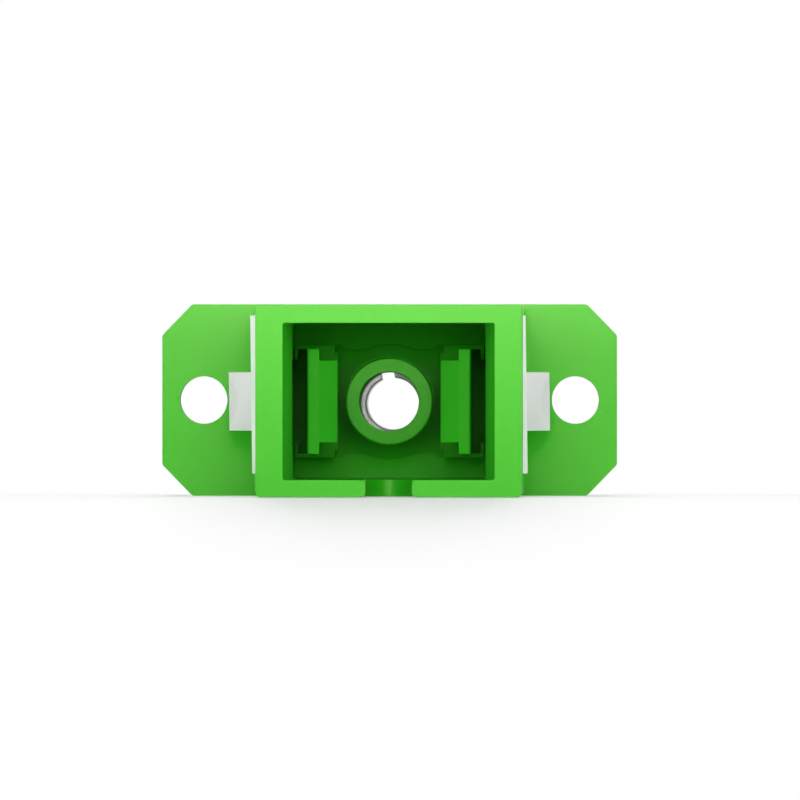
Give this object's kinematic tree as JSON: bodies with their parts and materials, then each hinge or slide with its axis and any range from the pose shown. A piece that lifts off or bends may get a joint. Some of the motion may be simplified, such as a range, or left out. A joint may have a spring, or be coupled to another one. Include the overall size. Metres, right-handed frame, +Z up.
{
  "type": "hybrid fibre adapter",
  "caption": "Flange-mounted hybrid fibre adapter joining a push-pull square port in front to a threaded round port behind, with an alignment sleeve and a panel clip.",
  "frame": {"origin": "on the ferrule axis, in the front face of the flange, which seats on the panel", "axes": "+X across the flange, +Y along the ferrule axis away from the SC mouth, +Z up, with both keyways at -Z"},
  "size_m": [0.022, 0.0245, 0.0093],
  "materials": {
    "green_plastic": "satin",
    "zirconia": "polished",
    "spring_steel": "satin",
    "nickel_plate": "polished"
  },
  "bodies": {
    "root": {"sc_housing": "green_plastic", "fc_housing": "green_plastic", "latch_insert": "green_plastic", "fc_insert": "green_plastic", "alignment_sleeve": "zirconia", "panel_clip": "spring_steel", "fc_barrel": "nickel_plate"}
  },
  "joints": []
}
